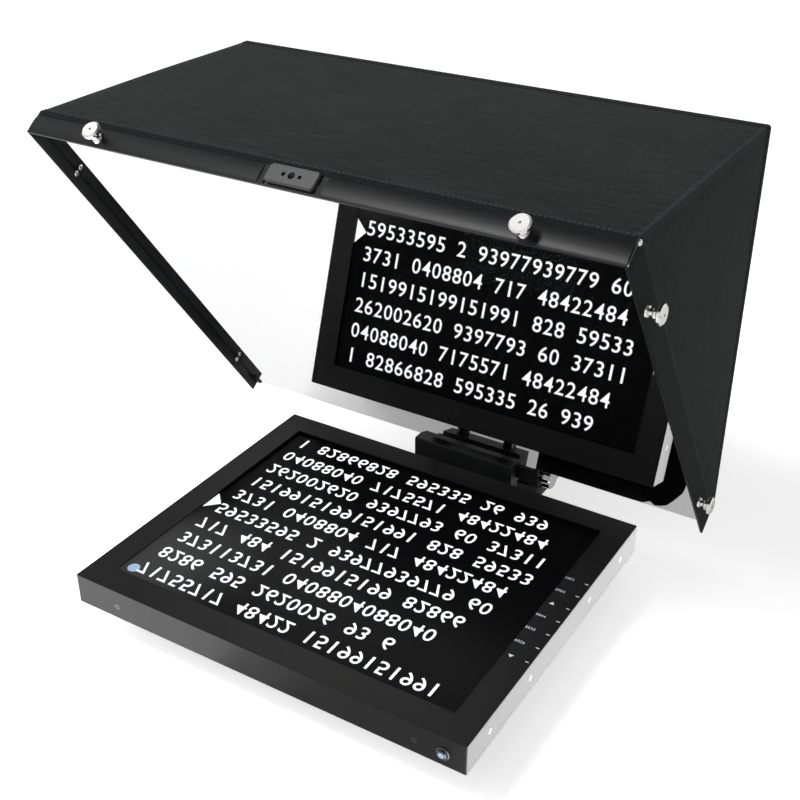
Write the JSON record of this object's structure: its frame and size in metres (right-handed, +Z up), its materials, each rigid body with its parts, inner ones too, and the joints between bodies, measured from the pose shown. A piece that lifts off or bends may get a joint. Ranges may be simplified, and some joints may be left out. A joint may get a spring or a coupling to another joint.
{
  "type": "teleprompter",
  "caption": "Through-the-glass teleprompter: flat prompter monitor under a tilting beam-splitter glass with a black fabric hood, on a rod rig with a sliding camera plate.",
  "frame": {"origin": "mouth of the 3/8 in tripod thread in the underside of the base plate", "axes": "+Z up, +X to the right seen from the front, +Y from the presenter towards the camera operator"},
  "size_m": [0.5805, 0.6586, 0.5],
  "materials": {
    "frame_coat": "satin black powder coat on folded steel sheet",
    "bracket_coat": "matt black anodised aluminium",
    "monitor_coat": "satin black powder coat",
    "screen": "anti-glare display film",
    "white_plastic": "moulded",
    "circuit_board": "solder mask",
    "coated_glass": "beam-splitter coating",
    "hood_fabric": "woven black nylon over board",
    "black_rubber": "matt",
    "rod_coat": "black anodised",
    "bright_steel": "polished nickel plate",
    "dark_steel": "black zinc",
    "black_plastic": "fine moulded texture",
    "lit_button": "polished, lit centre",
    "accessory_grey": "grey anodised"
  },
  "bodies": {
    "base": {"base_plate": "bracket_coat", "base_rod_clamps": "bracket_coat", "base_screws": "dark_steel", "riser_sides": "bracket_coat", "riser_top": "bracket_coat", "rods": "rod_coat"},
    "camera_plate": {"camera_plate": "bracket_coat", "camera_pad": "black_rubber"},
    "camera_screw": {"camera_screw": "dark_steel"},
    "plate_knob": {"plate_knob": "black_plastic"},
    "monitor": {"monitor_housing": "monitor_coat", "monitor_back_cover": "monitor_coat", "monitor_screws": "dark_steel", "lcd_panel": "screen", "backlight_unit": "white_plastic", "controller_board": "circuit_board", "power_board": "circuit_board", "key_board": "circuit_board", "power_ring": "black_plastic", "inlets": "black_plastic", "vesa_plate": "bracket_coat", "vesa_screws": "dark_steel", "monitor_saddle": "bracket_coat"},
    "saddle_knob": {"saddle_knob": "black_plastic"},
    "power_button": {"power_button": "lit_button"},
    "carriage": {"cross_beam": "bracket_coat", "upright": "bracket_coat", "carriage_clamp": "bracket_coat", "hinge_pin": "bright_steel"},
    "carriage_knob": {"carriage_knob": "black_plastic"},
    "tilt_knob": {"tilt_knob": "bright_steel"},
    "hood": {"top_bar": "frame_coat", "left_bar": "frame_coat", "right_bar": "frame_coat", "crossbar": "frame_coat", "hinge_arms": "frame_coat", "tilt_lock_plate": "frame_coat", "glass_clips": "frame_coat", "beam_splitter_glass": "coated_glass", "glass_gasket": "black_rubber", "accessory_plate": "accessory_grey", "frame_rivets": "bright_steel", "left_screw_upper": "bright_steel", "left_screw_lower": "bright_steel", "hood_top_panel": "hood_fabric", "hood_left_panel": "hood_fabric", "hood_right_panel": "hood_fabric", "hood_rear_panel": "hood_fabric", "lens_sleeve": "hood_fabric"},
    "menu_key_1": {"menu_key_1": "black_plastic"},
    "menu_key_2": {"menu_key_2": "black_plastic"},
    "menu_key_3": {"menu_key_3": "black_plastic"},
    "menu_key_4": {"menu_key_4": "black_plastic"},
    "menu_key_5": {"menu_key_5": "black_plastic"},
    "menu_key_6": {"menu_key_6": "black_plastic"},
    "menu_key_7": {"menu_key_7": "black_plastic"},
    "thumbscrew_top_left": {"thumbscrew_top_left": "bright_steel"},
    "thumbscrew_top_right": {"thumbscrew_top_right": "bright_steel"},
    "thumbscrew_right_upper": {"thumbscrew_right_upper": "bright_steel"},
    "thumbscrew_right_lower": {"thumbscrew_right_lower": "bright_steel"}
  },
  "joints": [
    {"name": "monitor_slide", "type": "slide", "parent": "base", "child": "monitor", "axis": [0, -1, 0], "range_m": [-0.012, 0.06]},
    {"name": "carriage_slide", "type": "slide", "parent": "base", "child": "carriage", "axis": [0, 1, 0], "range_m": [-0.006, 0.025]},
    {"name": "hood_tilt", "type": "hinge", "parent": "carriage", "child": "hood", "pos_m": [0, -0.113, 0.09], "axis": [1, 0, 0], "range_deg": [-10, 9.2]},
    {"name": "camera_plate_slide", "type": "slide", "parent": "base", "child": "camera_plate", "axis": [0, 1, 0], "range_m": [-0.025, 0.025]},
    {"name": "camera_screw_turn", "type": "hinge", "parent": "camera_plate", "child": "camera_screw", "pos_m": [0, 0.005, 0.14], "axis": [0, 0, 1], "continuous": true},
    {"name": "plate_knob_turn", "type": "hinge", "parent": "camera_plate", "child": "plate_knob", "pos_m": [0, 0.035, 0.14], "axis": [0, 0, 1], "continuous": true},
    {"name": "saddle_knob_turn", "type": "hinge", "parent": "monitor", "child": "saddle_knob", "pos_m": [-0.044, -0.2597, 0.0235], "axis": [-1, 0, 0], "continuous": true},
    {"name": "carriage_knob_turn", "type": "hinge", "parent": "carriage", "child": "carriage_knob", "pos_m": [-0.05, -0.12, 0.0235], "axis": [-1, 0, 0], "continuous": true},
    {"name": "tilt_knob_turn", "type": "hinge", "parent": "carriage", "child": "tilt_knob", "pos_m": [0.09, -0.11789, 0.06599], "axis": [1, 0, 0], "continuous": true},
    {"name": "thumbscrew_top_left_turn", "type": "hinge", "parent": "hood", "child": "thumbscrew_top_left", "pos_m": [-0.20195, -0.43329, 0.48404], "axis": [0, -0.5844, 0.8115], "continuous": true},
    {"name": "thumbscrew_top_right_turn", "type": "hinge", "parent": "hood", "child": "thumbscrew_top_right", "pos_m": [0.20195, -0.43329, 0.48404], "axis": [0, -0.5844, 0.8115], "continuous": true},
    {"name": "thumbscrew_right_upper_turn", "type": "hinge", "parent": "hood", "child": "thumbscrew_right_upper", "pos_m": [0.28195, -0.39297, 0.42805], "axis": [1, 0, 0], "continuous": true},
    {"name": "thumbscrew_right_lower_turn", "type": "hinge", "parent": "hood", "child": "thumbscrew_right_lower", "pos_m": [0.28195, -0.18551, 0.13998], "axis": [1, 0, 0], "continuous": true},
    {"name": "menu_key_1_press", "type": "slide", "parent": "monitor", "child": "menu_key_1", "axis": [0, 0, 1], "range_m": [0, 0.0005], "stiffness_N_per_m": 300},
    {"name": "menu_key_2_press", "type": "slide", "parent": "monitor", "child": "menu_key_2", "axis": [0, 0, 1], "range_m": [0, 0.0005], "stiffness_N_per_m": 300},
    {"name": "menu_key_3_press", "type": "slide", "parent": "monitor", "child": "menu_key_3", "axis": [0, 0, 1], "range_m": [0, 0.0005], "stiffness_N_per_m": 300},
    {"name": "menu_key_4_press", "type": "slide", "parent": "monitor", "child": "menu_key_4", "axis": [0, 0, 1], "range_m": [0, 0.0005], "stiffness_N_per_m": 300},
    {"name": "menu_key_5_press", "type": "slide", "parent": "monitor", "child": "menu_key_5", "axis": [0, 0, 1], "range_m": [0, 0.0005], "stiffness_N_per_m": 300},
    {"name": "menu_key_6_press", "type": "slide", "parent": "monitor", "child": "menu_key_6", "axis": [0, 0, 1], "range_m": [0, 0.0005], "stiffness_N_per_m": 300},
    {"name": "menu_key_7_press", "type": "slide", "parent": "monitor", "child": "menu_key_7", "axis": [0, 0, 1], "range_m": [0, 0.0005], "stiffness_N_per_m": 300},
    {"name": "power_button_press", "type": "slide", "parent": "monitor", "child": "power_button", "axis": [0, 1, 0], "range_m": [0, 0.0012], "stiffness_N_per_m": 500}
  ]
}
